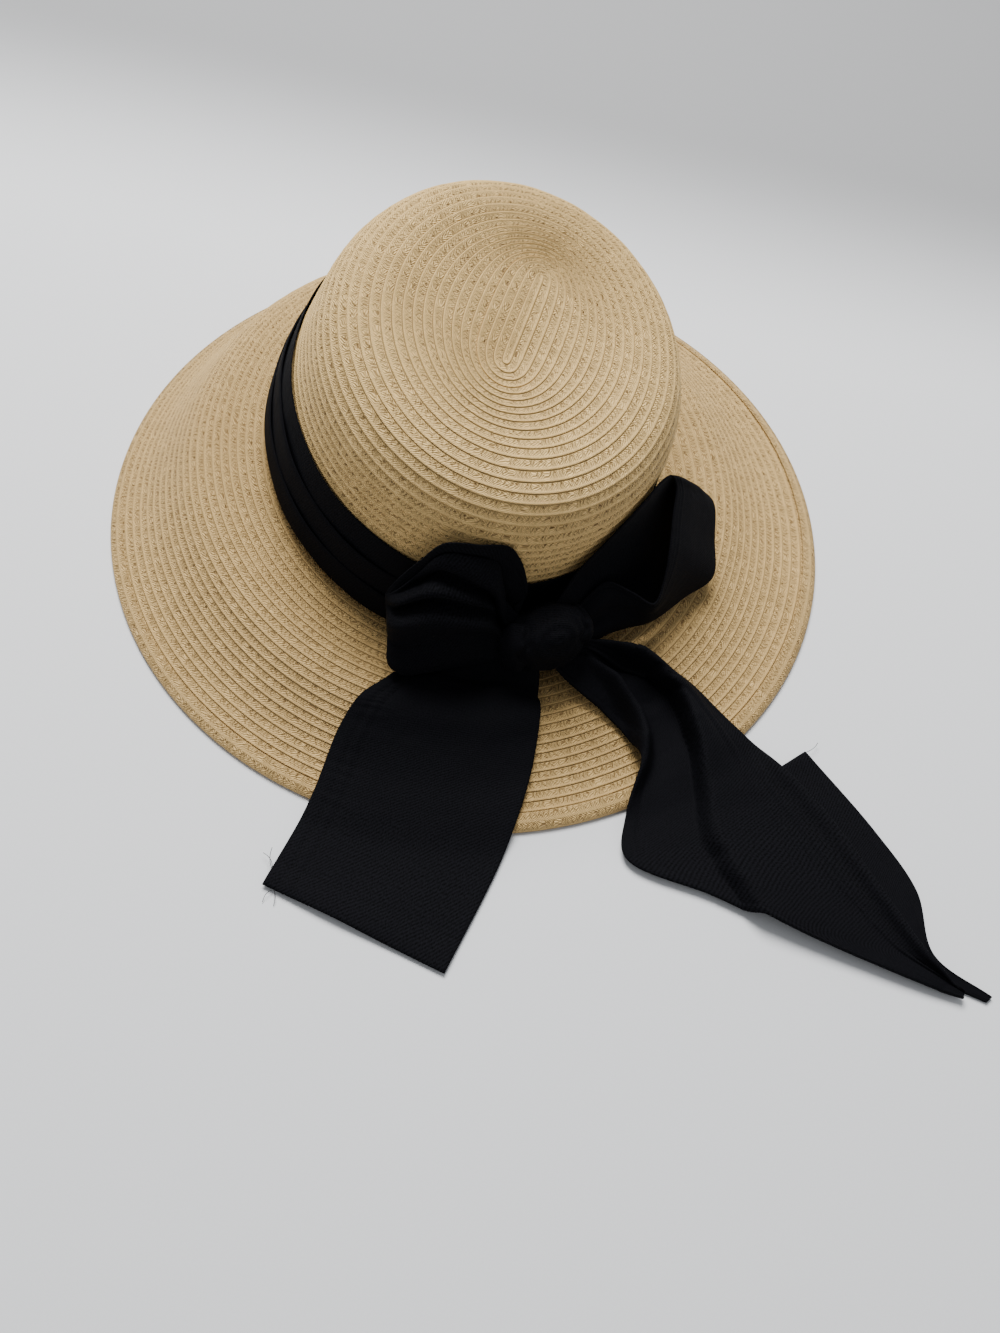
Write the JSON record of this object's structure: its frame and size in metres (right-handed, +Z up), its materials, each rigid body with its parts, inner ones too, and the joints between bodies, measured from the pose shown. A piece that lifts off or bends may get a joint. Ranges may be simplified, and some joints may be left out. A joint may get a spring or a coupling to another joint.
{
  "type": "sun hat",
  "caption": "Soft straw sun hat with a deep bell-shaped brim and a black cloth sash round the crown, tied in a bow whose long tails lie over the brim.",
  "frame": {"origin": "middle of the whole footprint, hat and sash tails, on the surface the brim edge rests on", "axes": "+Z up through the crown, -Y towards the front of the hat where the bow is, +X to the right seen from the front"},
  "size_m": [0.4748, 0.4438, 0.1492],
  "materials": {
    "straw_core": "plaited paper straw",
    "straw_top": "plaited paper straw",
    "straw_wall": "plaited paper straw",
    "straw_brim": "plaited paper straw",
    "straw_edge": "plaited paper straw",
    "lining": "woven cloth tape",
    "sash": "black woven cloth",
    "thread": "cotton thread"
  },
  "bodies": {
    "hat": {"crown_core": "straw_core", "crown_top": "straw_top", "crown_wall": "straw_wall", "brim": "straw_brim", "brim_edge": "straw_edge", "sweatband": "lining", "hat_band": "sash", "band_tack": "thread", "bow_knot": "sash", "bow_loop_left": "sash", "bow_loop_right": "sash", "tail_left_root": "sash", "tail_right_root": "sash"},
    "left_tail": {"tail_left": "sash"},
    "right_tail": {"tail_right": "sash", "tail_right_end": "sash"}
  },
  "joints": [
    {"name": "left_tail_lift", "type": "hinge", "parent": "hat", "child": "left_tail", "pos_m": [-0.02415, -0.098, 0.02315], "axis": [-0.9681, -0.2308, 0.0977], "range_deg": [0, 50]},
    {"name": "right_tail_lift", "type": "hinge", "parent": "hat", "child": "right_tail", "pos_m": [0.05, -0.0633, 0.0163], "axis": [-0.5665, -0.824, 0], "range_deg": [0, 55]}
  ]
}
